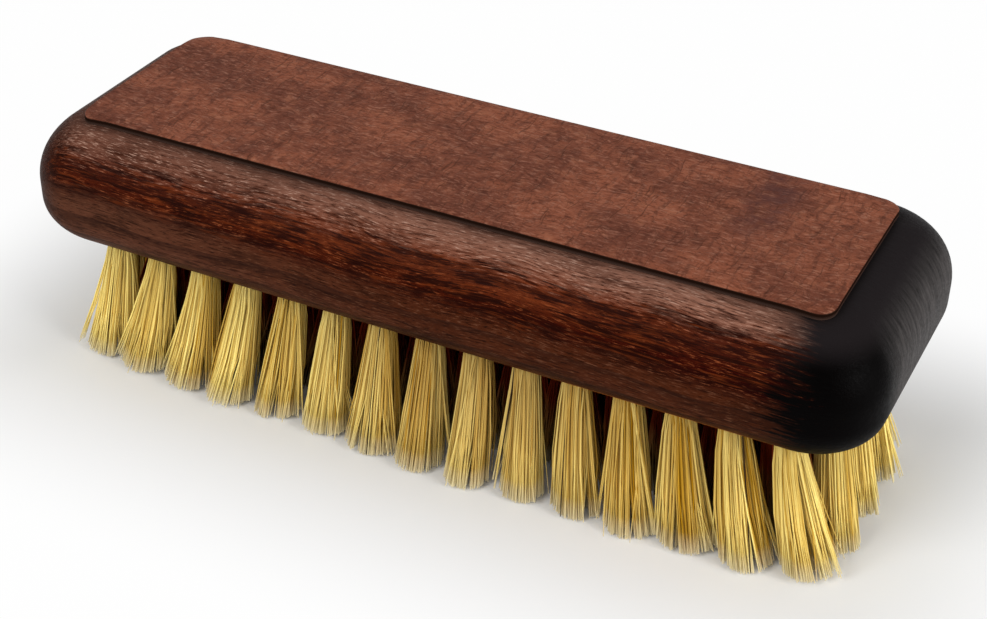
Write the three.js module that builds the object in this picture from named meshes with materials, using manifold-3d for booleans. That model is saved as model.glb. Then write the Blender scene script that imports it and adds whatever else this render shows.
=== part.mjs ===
// A hand brush for cleaning leather: a rounded beech stock drilled from below, rows of bristle tufts
// that steel wires draw up into their bores, and a leather panel glued over the wires.
// Millimetres, +Z up. The origin lies under the middle of the brush, on the plane of the bristle tips.
import * as THREE from "three";
import { mergeVertices } from "three/addons/utils/BufferGeometryUtils.js";
import Module from "manifold-3d";

const wasm = await Module();
wasm.setup();

// Stock
const BLOCK_LENGTH = 150;
const BLOCK_WIDTH = 52.5;
const BLOCK_HEIGHT = 21.4;
const PLAN_CORNER_RADIUS = 10.7; // at the widest level
const SHOULDER_INSET = 9.7; // upper rounding, measured in from the side
const SHOULDER_DROP = 10.9; // upper rounding, measured down from the top
const BELLY_INSET = 7.1; // lower rounding, measured in from the side
const BELLY_RISE = 7.4; // lower rounding, measured up from the face

// Leather panel and its glue
const PANEL_MARGIN_END = 9.1; // from the end of the stock to the panel
const PANEL_MARGIN_SIDE = 8.1;
const PANEL_THICKNESS = 1;
const PANEL_CORNER_RADIUS = 3;
const PANEL_EDGE_ROUND = 0.3;
const FILM_THICKNESS = 0.2;

// Tuft field
const ROW_COUNT = 5;
const OUTER_ROW_TUFTS = 15; // an inner row has one more, half a pitch off
const FIELD_MARGIN_END = 9.75; // from the end of the stock to the last bore of an inner row
const FIELD_MARGIN_SIDE = 9.65; // from the side of the stock to the bores of an outer row
const SPLAY_END = 4.9; // how far the tips of the last tufts lean out past their bores
const SPLAY_SIDE = 3.65;
const BORE_DIAMETER = 5;
const BORE_DEPTH = 11;

// Bristles
const BRISTLE_LENGTH = 24.2; // from the face of the stock to the trimmed tips
const STRANDS_PER_TUFT = 5;
const STRAND_ROOT_RADIUS = 1.05; // from a strand's axis to its corners
const STRAND_TIP_RADIUS = 1.9;
const TIP_GAP = 0.3; // between neighbouring tufts at their tips
const TIP_STRAY = 0.2; // how far a tip lies from its place in an even tuft
const SLICE_THICKNESS = 1.5; // of the wood that ties a bank of tufts together
const SLICE_RIM = 0.2; // of that wood outside the last bores

// Draw wires and the folded tufts that they hold
const WIRE_DIAMETER = 0.5;
const WIRE_LEG_GAP = 0.5; // between the two legs of a loop, in the wire hole
const GROOVE_DEPTH = 1.2; // below the top of the stock
const GROOVE_RUNOUT = 2; // past the last wire hole
const FOLD_THICKNESS = 1.8; // of a folded tuft, along its row
const CREST_HEIGHT = 1.2; // of bristle over the wire at the fold

// Clearance between pieces that seat in one another
const FIT_GAP = 0.3;

// Facets
const CORNER_STEPS = 7;
const ROUNDING_STEPS = 7;
const PANEL_EDGE_STEPS = 3;
const BORE_SIDES = 6;
const WIRE_HOLE_SIDES = 4;
const WIRE_SIDES = 3;
const STRAND_SIDES = 3;

// What follows from the driving dimensions. Heights count from the face of the stock.
const FIELD_HALF_LENGTH = BLOCK_LENGTH / 2 - FIELD_MARGIN_END;
const FIELD_HALF_WIDTH = BLOCK_WIDTH / 2 - FIELD_MARGIN_SIDE;
const PITCH_X = (2 * FIELD_HALF_LENGTH) / OUTER_ROW_TUFTS;
const PITCH_Y = (2 * FIELD_HALF_WIDTH) / (ROW_COUNT - 1);
const TIP_PITCH_X = PITCH_X * (1 + SPLAY_END / FIELD_HALF_LENGTH);
const TIP_PITCH_Y = PITCH_Y * (1 + SPLAY_SIDE / FIELD_HALF_WIDTH);
const TUFT_TIP_RADIUS = (Math.min(TIP_PITCH_X, TIP_PITCH_Y) - TIP_GAP) / 2;
const WIRE_RADIUS = WIRE_DIAMETER / 2;
const WIRE_ROOM = WIRE_DIAMETER + 2 * FIT_GAP; // what a wire needs to pass through
const WIRE_LEG_X = (WIRE_LEG_GAP + WIRE_DIAMETER) / 2;
const WIRE_HOLE_FLAT = WIRE_LEG_X + WIRE_RADIUS + FIT_GAP; // from the hole's axis to a flat of it
const GROOVE_WIDTH = 2 * (WIRE_HOLE_FLAT + FIT_GAP);
const GROOVE_FLOOR = BLOCK_HEIGHT - GROOVE_DEPTH;
const FOLD_REACH = (BORE_DIAMETER / 2) * Math.cos(Math.PI / BORE_SIDES) - FIT_GAP;
const FOLD_WIDTH = 2 * Math.sqrt(FOLD_REACH ** 2 - (FOLD_THICKNESS / 2) ** 2);
const CREST_TOP = BORE_DEPTH - WIRE_ROOM; // the wire passes over it, under the bore's floor
const WINDOW_TOP = CREST_TOP - CREST_HEIGHT;
const SLICE_MARGIN = BORE_DIAMETER / 2 + SLICE_RIM;
const SLICE_CORNER_RADIUS = PLAN_CORNER_RADIUS - BELLY_INSET / 2;
const ROOT_SEAT = SLICE_THICKNESS / 2; // how deep strands and folds run into their slice
const PANEL_LENGTH = BLOCK_LENGTH - 2 * PANEL_MARGIN_END;
const PANEL_WIDTH = BLOCK_WIDTH - 2 * PANEL_MARGIN_SIDE;
const FILM_TOP = BLOCK_HEIGHT + FILM_THICKNESS;
const PANEL_TOP = FILM_TOP + PANEL_THICKNESS;
const CUT_PAST = 1; // how far a cutting tool runs past the surface that it opens

const STAINED_BEECH = { color: 0x4a2a20, roughness: 0.45, metalness: 0 };
const LEATHER = { color: 0x7a4936, roughness: 0.6, metalness: 0 };
const CONTACT_GLUE = { color: 0x8a7440, roughness: 0.4, metalness: 0 };
const STEEL_WIRE = { color: 0xa8a8a4, roughness: 0.35, metalness: 1 };
const BRISTLE = { color: 0xc9ac5a, roughness: 0.5, metalness: 0 };

// A solid for cutting and joining, from a closed geometry
function solidOf(geometry) {
  const bare = geometry.clone();
  bare.deleteAttribute("normal");
  bare.deleteAttribute("uv");
  const merged = mergeVertices(bare);
  return new wasm.Manifold(
    new wasm.Mesh({
      numProp: 3,
      vertProperties: new Float32Array(merged.attributes.position.array),
      triVerts: new Uint32Array(merged.index.array),
    }),
  );
}

// A geometry to show, from a solid
function geometryOf(solid) {
  const mesh = solid.getMesh();
  const geometry = new THREE.BufferGeometry();
  geometry.setAttribute("position", new THREE.BufferAttribute(mesh.vertProperties, 3));
  geometry.setIndex(new THREE.BufferAttribute(mesh.triVerts, 1));
  geometry.computeVertexNormals();
  return geometry;
}

// A closed skin through rings with as many points each, capped at the first ring and the last.
// Seen from the last ring's side, every ring runs anticlockwise.
function loft(rings) {
  const count = rings[0].length;
  const last = (rings.length - 1) * count;
  const index = [];
  for (let start = 0; start < last; start += count) {
    for (let i = 0; i < count; i++) {
      const a = start + i;
      const b = start + ((i + 1) % count);
      index.push(a, b, b + count, a, b + count, a + count);
    }
  }
  for (let i = 1; i + 1 < count; i++) {
    index.push(0, i + 1, i);
    index.push(last, last + i, last + i + 1);
  }
  const geometry = new THREE.BufferGeometry().setFromPoints(rings.flat());
  geometry.setIndex(index);
  geometry.computeVertexNormals();
  return geometry;
}

// A ring of points at one level: a rectangle with round corners
function roundedRing(length, width, radius, z) {
  const ring = [];
  for (let corner = 0; corner < 4; corner++) {
    const signX = corner === 0 || corner === 3 ? 1 : -1;
    const signY = corner < 2 ? 1 : -1;
    for (let i = 0; i <= CORNER_STEPS; i++) {
      const angle = (corner + i / CORNER_STEPS) * (Math.PI / 2);
      const x = signX * (length / 2 - radius) + radius * Math.cos(angle);
      const y = signY * (width / 2 - radius) + radius * Math.sin(angle);
      ring.push(new THREE.Vector3(x, y, z));
    }
  }
  return ring;
}

// A ring of points at one level: a regular polygon round (x, y)
function regularRing(x, y, radius, sides, turn, z) {
  return Array.from({ length: sides }, (_, i) => {
    const angle = turn + (i / sides) * 2 * Math.PI;
    return new THREE.Vector3(x + radius * Math.cos(angle), y + radius * Math.sin(angle), z);
  });
}

// Tuft field: outer rows of one count, inner rows with one tuft more
const ROWS = Array.from({ length: ROW_COUNT }, (_, row) => row);

function tuftsIn(row) {
  const outer = row === 0 || row === ROW_COUNT - 1;
  const count = outer ? OUTER_ROW_TUFTS : OUTER_ROW_TUFTS + 1;
  return Array.from({ length: count }, (_, i) => ({
    x: (i - (count - 1) / 2) * PITCH_X,
    y: (row - (ROW_COUNT - 1) / 2) * PITCH_Y,
  }));
}

// How far a bore leans for each millimetre of height: the field fans out downwards
function leanAt({ x, y }) {
  return {
    x: (-SPLAY_END * (x / FIELD_HALF_LENGTH)) / BRISTLE_LENGTH,
    y: (-SPLAY_SIDE * (y / FIELD_HALF_WIDTH)) / BRISTLE_LENGTH,
  };
}

// Stands what is modelled upright at the origin on a tuft's bore, leaning as the bore does
function seatAt(tuft) {
  const lean = leanAt(tuft);
  return new THREE.Matrix4().set(1, 0, lean.x, tuft.x, 0, 1, lean.y, tuft.y, 0, 0, 1, 0, 0, 0, 0, 1);
}

// Stock, outline only: a rounding below, a straight wall and a larger rounding above. No rounding is
// taller than its wall.
function stockForm() {
  const belly = Math.min(BELLY_RISE, BLOCK_HEIGHT / 2);
  const shoulder = Math.min(SHOULDER_DROP, BLOCK_HEIGHT - belly);
  const levels = [];
  for (let i = 0; i <= ROUNDING_STEPS; i++) {
    const angle = (1 - i / ROUNDING_STEPS) * (Math.PI / 2);
    levels.push({ z: belly * (1 - Math.sin(angle)), inset: BELLY_INSET * (1 - Math.cos(angle)) });
  }
  if (belly + shoulder >= BLOCK_HEIGHT) levels.pop();
  for (let i = 0; i <= ROUNDING_STEPS; i++) {
    const angle = (i / ROUNDING_STEPS) * (Math.PI / 2);
    levels.push({
      z: BLOCK_HEIGHT - shoulder * (1 - Math.sin(angle)),
      inset: SHOULDER_INSET * (1 - Math.cos(angle)),
    });
  }
  // The plan's corners tighten half as fast as the outline shrinks, as on wood that is sanded soft
  return loft(
    levels.map(({ z, inset }) =>
      roundedRing(BLOCK_LENGTH - 2 * inset, BLOCK_WIDTH - 2 * inset, PLAN_CORNER_RADIUS - inset / 2, z),
    ),
  );
}

// The outline that all slices fill together, let out by a gap for the bed that they lie in
function sliceOutline(gap, z) {
  const length = 2 * (FIELD_HALF_LENGTH + SLICE_MARGIN + gap);
  const width = 2 * (FIELD_HALF_WIDTH + SLICE_MARGIN + gap);
  return roundedRing(length, width, SLICE_CORNER_RADIUS + gap, z);
}

// Stock: drilled for tufts and wires, grooved on top for the wires, and bedded below for the slices
function brushBlock() {
  const bore = loft([0, BORE_DEPTH].map((z) => regularRing(0, 0, BORE_DIAMETER / 2, BORE_SIDES, 0, z)));
  const halfSide = Math.PI / WIRE_HOLE_SIDES;
  const wireHole = loft(
    [0, BLOCK_HEIGHT - GROOVE_DEPTH / 2].map((z) =>
      regularRing(0, 0, WIRE_HOLE_FLAT / Math.cos(halfSide), WIRE_HOLE_SIDES, halfSide, z),
    ),
  );
  const bed = [-CUT_PAST, SLICE_THICKNESS + FIT_GAP].map((z) => sliceOutline(FIT_GAP, z));
  const tools = [solidOf(loft(bed))];
  for (const row of ROWS) {
    const tufts = tuftsIn(row);
    for (const tuft of tufts) {
      tools.push(solidOf(bore.clone().applyMatrix4(seatAt(tuft))));
      tools.push(solidOf(wireHole.clone().applyMatrix4(seatAt(tuft))));
    }
    const lastHole = new THREE.Vector3(0, 0, GROOVE_FLOOR).applyMatrix4(seatAt(tufts[tufts.length - 1]));
    const length = 2 * (lastHole.x + WIRE_HOLE_FLAT + GROOVE_RUNOUT);
    const groove = new THREE.BoxGeometry(length, GROOVE_WIDTH, GROOVE_DEPTH + CUT_PAST);
    groove.translate(0, lastHole.y, GROOVE_FLOOR + (GROOVE_DEPTH + CUT_PAST) / 2);
    tools.push(solidOf(groove));
  }
  return geometryOf(solidOf(stockForm()).subtract(wasm.Manifold.union(tools)));
}

// Glue film, as large as the panel
function adhesiveFilm() {
  return loft(
    [BLOCK_HEIGHT, FILM_TOP].map((z) => roundedRing(PANEL_LENGTH, PANEL_WIDTH, PANEL_CORNER_RADIUS, z)),
  );
}

// Leather panel, with its upper edge rounded over
function leatherPanel() {
  const rings = [roundedRing(PANEL_LENGTH, PANEL_WIDTH, PANEL_CORNER_RADIUS, FILM_TOP)];
  for (let i = 0; i <= PANEL_EDGE_STEPS; i++) {
    const angle = (i / PANEL_EDGE_STEPS) * (Math.PI / 2);
    const inset = PANEL_EDGE_ROUND * (1 - Math.cos(angle));
    const z = PANEL_TOP - PANEL_EDGE_ROUND * (1 - Math.sin(angle));
    rings.push(
      roundedRing(PANEL_LENGTH - 2 * inset, PANEL_WIDTH - 2 * inset, PANEL_CORNER_RADIUS - inset, z),
    );
  }
  return loft(rings);
}

// How far from a tuft's axis a strand stands, for its outer corners to reach the tuft's own radius
function strandOffset(tuftRadius, strandRadius) {
  const flat = strandRadius * Math.cos(Math.PI / STRAND_SIDES);
  const halfSide = strandRadius * Math.sin(Math.PI / STRAND_SIDES);
  return Math.sqrt(tuftRadius ** 2 - halfSide ** 2) - flat;
}

// Strands of one tuft, in a ring: each is a tapering prism with a flat side outwards, and fans out from
// the slice down to the level trim. Each tuft is turned, and its tips stray, by its place in the field.
function tuftStrands(tuft) {
  const turn = tuft.x + tuft.y;
  return Array.from({ length: STRANDS_PER_TUFT }, (_, i) => {
    const angle = turn + (i / STRANDS_PER_TUFT) * 2 * Math.PI;
    const stray = TIP_STRAY * Math.cos(2 * angle + tuft.x * tuft.y);
    const sections = [
      {
        offset: strandOffset(TUFT_TIP_RADIUS - TIP_STRAY, STRAND_TIP_RADIUS) + stray,
        radius: STRAND_TIP_RADIUS,
        z: -BRISTLE_LENGTH,
      },
      {
        offset: strandOffset(BORE_DIAMETER / 2, STRAND_ROOT_RADIUS),
        radius: STRAND_ROOT_RADIUS,
        z: ROOT_SEAT,
      },
    ];
    const flatOut = angle + Math.PI / STRAND_SIDES;
    const strand = loft(
      sections.map(({ offset, radius, z }) =>
        regularRing(offset * Math.cos(angle), offset * Math.sin(angle), radius, STRAND_SIDES, flatOut, z),
      ),
    );
    return solidOf(strand.applyMatrix4(seatAt(tuft)));
  });
}

// Fold of one tuft, up in its bore: an arch across the row, with a window under its crest for the wire
function tuftFold(tuft) {
  const half = FOLD_WIDTH / 2;
  const arch = new THREE.Shape([
    new THREE.Vector2(-half, ROOT_SEAT),
    new THREE.Vector2(half, ROOT_SEAT),
    new THREE.Vector2(half, WINDOW_TOP),
    new THREE.Vector2(half / 2, CREST_TOP),
    new THREE.Vector2(-half / 2, CREST_TOP),
    new THREE.Vector2(-half, WINDOW_TOP),
  ]);
  const window = [-WIRE_ROOM / 2, WIRE_ROOM / 2].map((y) => [
    new THREE.Vector2(y, WINDOW_TOP - WIRE_ROOM),
    new THREE.Vector2(y, WINDOW_TOP),
  ]);
  arch.holes.push(new THREE.Path([...window[0], ...window[1].reverse()]));
  const fold = new THREE.ExtrudeGeometry(arch, { depth: FOLD_THICKNESS, bevelEnabled: false });
  fold.translate(0, 0, -FOLD_THICKNESS / 2);
  const acrossRow = new THREE.Vector3(0, 1, 0);
  const upwards = new THREE.Vector3(0, 0, 1);
  const alongRow = new THREE.Vector3(1, 0, 0);
  fold.applyMatrix4(new THREE.Matrix4().makeBasis(acrossRow, upwards, alongRow));
  return solidOf(fold.applyMatrix4(seatAt(tuft)));
}

// The slice of wood that carries some rows: it ends midway to the next row, or at the bed's edge
function sliceUnder(rows) {
  const whole = solidOf(loft([0, SLICE_THICKNESS].map((z) => sliceOutline(0, z))));
  const first = rows[0];
  const last = rows[rows.length - 1];
  const reach = (PITCH_Y - FIT_GAP) / 2;
  const low = first === 0 ? -BLOCK_WIDTH : tuftsIn(first)[0].y - reach;
  const high = last === ROW_COUNT - 1 ? BLOCK_WIDTH : tuftsIn(last)[0].y + reach;
  const strip = new THREE.BoxGeometry(BLOCK_LENGTH, high - low, SLICE_THICKNESS + 2 * CUT_PAST);
  strip.translate(0, (low + high) / 2, SLICE_THICKNESS / 2);
  return whole.intersect(solidOf(strip));
}

// A bank of tufts: their strands, their folds and the slice that ties them together
function bristleBank(rows) {
  const tufts = rows.flatMap(tuftsIn);
  const pieces = [sliceUnder(rows), ...tufts.map(tuftFold), ...tufts.flatMap(tuftStrands)];
  return geometryOf(wasm.Manifold.union(pieces));
}

// The line of one row's wire: along its groove, and at every bore down through the wire hole, round the
// crest of the fold and up again
function wireLine(row) {
  const grooveZ = GROOVE_FLOOR + FIT_GAP + WIRE_RADIUS;
  const overZ = BORE_DEPTH - FIT_GAP - WIRE_RADIUS;
  const underZ = WINDOW_TOP - FIT_GAP - WIRE_RADIUS;
  const besideX = FOLD_THICKNESS / 2 + FIT_GAP + WIRE_RADIUS;
  const halfLoop = [
    [WIRE_LEG_X, grooveZ],
    [WIRE_LEG_X, overZ],
    [besideX, overZ],
    [besideX, underZ],
  ];
  const down = halfLoop.map(([x, z]) => new THREE.Vector3(-x, 0, z));
  const up = halfLoop.map(([x, z]) => new THREE.Vector3(x, 0, z)).reverse();
  const tufts = tuftsIn(row);
  const line = tufts.flatMap((tuft) => [...down, ...up].map((p) => p.clone().applyMatrix4(seatAt(tuft))));
  const tail = new THREE.Vector3(WIRE_HOLE_FLAT, 0, 0);
  return [line[0].clone().sub(tail), ...line, line[line.length - 1].clone().add(tail)];
}

// Draw wire: its section carried along the line, mitred at the bends. The line lies in the leaning
// plane of its row.
function drawWire(row) {
  const line = wireLine(row);
  const normal = new THREE.Vector3(0, -1, leanAt(tuftsIn(row)[0]).y).normalize();
  const headings = line.slice(1).map((p, i) => p.clone().sub(line[i]).normalize());
  const rings = line.map((point, i) => {
    const arriving = headings[Math.max(i - 1, 0)];
    const leaving = headings[Math.min(i, headings.length - 1)];
    const along = arriving.clone().add(leaving).normalize();
    const side = normal.clone().cross(along).divideScalar(along.dot(arriving));
    return Array.from({ length: WIRE_SIDES }, (_, k) => {
      const angle = (k / WIRE_SIDES) * 2 * Math.PI;
      return point
        .clone()
        .addScaledVector(side, WIRE_RADIUS * Math.cos(angle))
        .addScaledVector(normal, WIRE_RADIUS * Math.sin(angle));
    });
  });
  return loft(rings);
}

// The brush stands on its tips, so its face lies a bristle's length up
const brush = new THREE.Group();
const onFace = new THREE.Group();
onFace.position.z = BRISTLE_LENGTH;
brush.add(onFace);

function add(name, geometry, finish) {
  const mesh = new THREE.Mesh(geometry, new THREE.MeshStandardMaterial(finish));
  mesh.name = name;
  onFace.add(mesh);
}

const OUTER_BANK_ROWS = Math.floor((ROW_COUNT - 1) / 2);

add("brush_block", brushBlock(), STAINED_BEECH);
add("adhesive_film", adhesiveFilm(), CONTACT_GLUE);
add("leather_panel", leatherPanel(), LEATHER);
for (const row of ROWS) add(`draw_wire_${row + 1}`, drawWire(row), STEEL_WIRE);
add("bristle_bank_front", bristleBank(ROWS.slice(0, OUTER_BANK_ROWS)), BRISTLE);
add("bristle_bank_middle", bristleBank(ROWS.slice(OUTER_BANK_ROWS, ROW_COUNT - OUTER_BANK_ROWS)), BRISTLE);
add("bristle_bank_back", bristleBank(ROWS.slice(ROW_COUNT - OUTER_BANK_ROWS)), BRISTLE);

export default brush;
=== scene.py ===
import math

import bmesh
import bpy
import numpy as np
from mathutils import Matrix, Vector
from mathutils.geometry import delaunay_2d_cdt


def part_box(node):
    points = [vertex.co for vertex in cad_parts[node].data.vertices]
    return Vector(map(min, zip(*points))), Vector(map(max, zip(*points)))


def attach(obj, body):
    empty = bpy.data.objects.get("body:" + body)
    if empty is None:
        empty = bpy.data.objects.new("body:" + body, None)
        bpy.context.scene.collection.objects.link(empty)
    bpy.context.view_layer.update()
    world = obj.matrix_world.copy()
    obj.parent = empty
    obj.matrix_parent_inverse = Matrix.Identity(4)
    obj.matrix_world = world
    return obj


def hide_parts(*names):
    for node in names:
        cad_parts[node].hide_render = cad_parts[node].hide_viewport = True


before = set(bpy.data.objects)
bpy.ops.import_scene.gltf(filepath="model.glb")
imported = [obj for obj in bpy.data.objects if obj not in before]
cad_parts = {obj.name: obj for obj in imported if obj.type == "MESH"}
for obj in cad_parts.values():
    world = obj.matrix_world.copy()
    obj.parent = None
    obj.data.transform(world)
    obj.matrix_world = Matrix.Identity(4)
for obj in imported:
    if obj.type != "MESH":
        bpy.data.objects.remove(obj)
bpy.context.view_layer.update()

# The looks of a leather cleaning brush: a stained beech stock, a leather panel on its top and
# tufts of natural bristle below. Sizes are millimetres until a mesh is made.
MM = 0.001


def node_box(node):
    """Lowest and highest corner of a CAD node, in millimetres."""
    low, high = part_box(node)
    return np.array(low) / MM, np.array(high) / MM


# Stock
BLOCK_LOW, BLOCK_HIGH = node_box("brush_block")
BLOCK_LENGTH, BLOCK_WIDTH = (BLOCK_HIGH - BLOCK_LOW)[:2]
FACE_HEIGHT = BLOCK_LOW[2]
STOCK_TOP = BLOCK_HIGH[2]
PLAN_CORNER_RADIUS = 10.7
SHOULDER_INSET = 9.7
SHOULDER_DROP = 10.9
BELLY_INSET = 7.1
BELLY_RISE = 7.4

# Leather panel
PANEL_LOW, PANEL_HIGH = node_box("leather_panel")
PANEL_LENGTH, PANEL_WIDTH = (PANEL_HIGH - PANEL_LOW)[:2]
PANEL_BASE = PANEL_LOW[2]
PANEL_TOP = PANEL_HIGH[2]
PANEL_CORNER_RADIUS = 3.0
PANEL_EDGE_ROUND = 0.2  # burnished upper edge
PANEL_EDGE_RINGS = 8
PANEL_TOP_INSETS = (0.5, 1.0, 1.8, 3.0)  # of the first rings of the top
PANEL_LEAST_RADIUS = 0.4  # of their corners
PANEL_WAVE = 0.05  # how far the glued leather is from flat
PANEL_WAVE_START = 4.0  # how far in from the edge the waves are whole
PANEL_SET = -0.45  # how far along the stock the panel was glued from the middle
FILM_LOW = node_box("adhesive_film")[0][2]
FILM_INSET = 0.4  # how far the glue stops short of the panel's edge

# Tuft field
ROW_TUFTS = (15, 16, 16, 16, 15)
PITCH_X = 8.7
PITCH_Y = 8.3
SPLAY_END = 5.4
SPLAY_SIDE = 4.0
SWEPT = 0.7  # how far use has swept all tips along the stock
END_HOLD = 0.4  # share of its lean along the stock that the outermost tuft gives up
END_POWER = 24  # how suddenly that comes along a row
CORNER_TURN = 1.3  # share of its sideways lean that a corner tuft gives up, so that it turns inwards
CORNER_POWERS = (8, 4)  # how suddenly that comes along and across the field
PRESSED_PLACE = 8.0  # where use has bent the front rows forward
PRESSED_REACH = 28.0
PRESSED_LEAN = 1.4
MIDDLE_SHADE_PLACE = 10.0  # where painted shade darkens the tufts most
MIDDLE_SHADE_REACH = 30.0
MIDDLE_SHADE_SHARE = 0.32
BORE_RADIUS = 2.5
BORE_MOUTH = 0.25  # width and depth of the chamfer round a bore
BORE_SHOWN = 4.0  # depth of bore that can be seen past the bristles
BORE_SIDES = 20
TUFT_TIP_RADIUS = 4.4
INNER_TIP_RADIUS = 6.0  # of the tufts behind the outer rows, which nothing has pressed together
END_TIP_RADIUS = 3.6  # of the tufts at the ends of the other rows
CORNER_TIP_RADIUS = 4.7  # of the front row's end tufts, which use has spread

# Bristles. A pair is the least and the most of an even spread, a noise the deviation of a normal one.
HAIRS_PER_TUFT = 420
HAIR_RINGS = 4
HAIR_SIDES = 4
HAIR_RADIUS = 0.13
HAIR_GAUGE = (0.75, 1.25)  # of that radius
TAPER_START = 0.7  # share of its length where a hair starts to taper
TIP_GAUGE = 0.7  # share of its radius that it keeps at the tip
HAIR_ROOT_SPREAD = 0.82  # of the bore's radius
HAIR_ROOT_DEPTH = 2.4  # how far the modelled hair runs into its bore
HAIR_FLARE = 1.25  # power by which a hair leaves its bore's line
ROOT_CROWDING = 0.36  # power by which hairs crowd to the edge of their tuft
TUFT_FAN = (0.84, 1.14)  # of the tip radius, for a tuft
HAIR_FAN = (0.94, 1.04)  # of its tuft's, for a hair
TUFT_OVAL = (0.92, 1.16)  # stretch of a tuft's tips along the stock
FAN_LIMIT = 1.35  # of the tip radius, past which no hair ends
HAIR_TURN_NOISE = 0.16  # in radians, round the tuft
HAIR_TIP_NOISE = 0.15
HAIR_BOW_NOISE = 0.3
TUFT_TILT_NOISE = 0.35
STRAY_SHARE = 0.015
STRAY_TIP_NOISE = 1.3
LOCKS = 10  # bundles that a tuft's hairs gather to
LOCK_CROWDING = 0.4  # power by which locks crowd to the edge of their tuft
GATHER = 0.24  # share of the way
WISPS = 5  # thin bundles that part from their tuft
WISP_HAIRS = 4
WISP_ROOT = 0.04  # share of the bore's edge that a wisp takes
WISP_TURN_NOISE = 0.9  # in radians, from its root to its tip
WISP_FAN = (1.05, 1.4)  # of its tuft's
WISP_TURN = 0.5  # share of the other hairs' turn
WISP_BOW = 0.2  # share of the other hairs' bow
WISP_SIDEWAYS = 0.65  # share of the other hairs' spread across the stock

# Trimmed tips
TIP_CLEARANCE = 0.05  # over the floor
TUFT_TRIM = 0.25  # how much shorter a tuft may be
HAIR_TRIM_NOISE = 0.15
DOME_RISE = 0.55  # at the tip radius
DOME_START = 0.5  # share of the tip radius where the dome starts to rise
DOME_LIMIT = 1.2

# Shades of the hairs
TONE = 0.56
WISP_TONE = 0.15  # how much paler wisps are
CORE_SHADE_TONE = 0.5  # painted shade: how much darker hairs are in the middle of a tuft than at its edge
CORE_SHADE_REACH = 0.8  # share of the tuft's radius where they have the plain tone
HAIR_TONE_NOISE = 0.17
LOCK_TONE_NOISE = 0.18
TUFT_TONE_NOISE = 0.05
ODD_SHARE = 0.006  # of the hairs, which are dark
ODD_TONE = -1
DEEP_START = 3.5  # in from the edge of the tuft field, where the painted shade on the hairs starts
DEEP_REACH = 4.0

# Steps of the grids
WELD_REACH = 0.002
CORNER_STEPS = 24
SIDE_STEPS = 40
ROUNDING_RINGS = 20
CAP_RINGS = 16


def rounded_rings(length, width, radius):
    """Rounded rectangles in plan, one per entry of the arrays, anticlockwise from the right end of
    the back right corner: a quarter circle about each corner's centre, and each straight side
    between two corners divided evenly."""
    length, width, radius = (np.asarray(size, float).reshape(-1, 1) for size in (length, width, radius))
    turn = np.linspace(0, np.pi / 2, CORNER_STEPS + 1)
    corners = []
    for quarter, (side_x, side_y) in enumerate(((1, 1), (-1, 1), (-1, -1), (1, -1))):
        angle = turn + quarter * np.pi / 2
        x = side_x * (length / 2 - radius) + radius * np.cos(angle)
        y = side_y * (width / 2 - radius) + radius * np.sin(angle)
        corners.append(np.stack([x, y], axis=-1))
    share = np.linspace(0, 1, SIDE_STEPS + 1)[1:-1].reshape(1, -1, 1)
    parts = []
    for corner, following in zip(corners, corners[1:] + corners[:1]):
        start, end = corner[:, -1:], following[:, :1]
        parts += [corner, start + (end - start) * share]
    return np.concatenate(parts, axis=1)


def ring_faces(rings, count, first=0):
    """Quads between neighbouring rings of points, each ring closed on itself."""
    start = first + count * np.arange(rings - 1).reshape(-1, 1)
    here = np.arange(count).reshape(1, -1)
    after = np.roll(here, -1)
    corners = [start + here, start + after, start + count + after, start + count + here]
    return np.stack(corners, -1).reshape(-1, 4)


def fan_faces(ring_start, count, pole):
    """Triangles from a closed ring to one point."""
    here = ring_start + np.arange(count)
    return np.stack([here, np.roll(here, -1), np.full(count, pole)], -1)


def make_piece(name, points, faces, material, attributes=None):
    """A smooth mesh object from points in millimetres, arrays of faces and values of its points."""
    mesh = bpy.data.meshes.new(name)
    mesh.from_pydata((points * MM).tolist(), [], [face for rows in faces for face in rows.tolist()])
    for label, values in (attributes or {}).items():
        mesh.attributes.new(label, "FLOAT", "POINT").data.foreach_set("value", values.astype(np.float32))
    mesh.materials.append(material)
    mesh.shade_smooth()
    piece = bpy.data.objects.new(name, mesh)
    bpy.context.scene.collection.objects.link(piece)
    return piece


def weld_and_face_out(piece, sharp_angle):
    """Joins the doubled points of sheets that meet, turns all faces outwards and keeps edges sharp
    where faces meet at more than an angle."""
    shell = bmesh.new()
    shell.from_mesh(piece.data)
    bmesh.ops.remove_doubles(shell, verts=shell.verts, dist=WELD_REACH * MM)
    bmesh.ops.recalc_face_normals(shell, faces=shell.faces)
    shell.to_mesh(piece.data)
    shell.free()
    piece.data.set_sharp_from_angle(angle=math.radians(sharp_angle))


def tuft_plan():
    """(bores, leans, rows): each tuft's place on the face, how far its tips lean out past that place, and
    its row. The lean grows evenly from the middle of the field. By a power of the place in the field,
    the last tufts of a row hold back some of it, and those at the corners turn in."""
    bores = []
    rows = []
    for row, tufts in enumerate(ROW_TUFTS):
        x = (np.arange(tufts) - (tufts - 1) / 2) * PITCH_X
        y = np.full(tufts, (row - (len(ROW_TUFTS) - 1) / 2) * PITCH_Y)
        bores.append(np.stack([x, y], axis=1))
        rows.append(np.full(tufts, row))
    bores = np.concatenate(bores)
    outward = bores / np.abs(bores).max(axis=0)
    leans = outward * (SPLAY_END, SPLAY_SIDE)
    leans[:, 0] *= 1 - END_HOLD * np.abs(outward[:, 0]) ** END_POWER
    leans[:, 1] *= 1 - CORNER_TURN * (np.abs(outward) ** CORNER_POWERS).prod(axis=1)
    return bores, leans, np.concatenate(rows)


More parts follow.
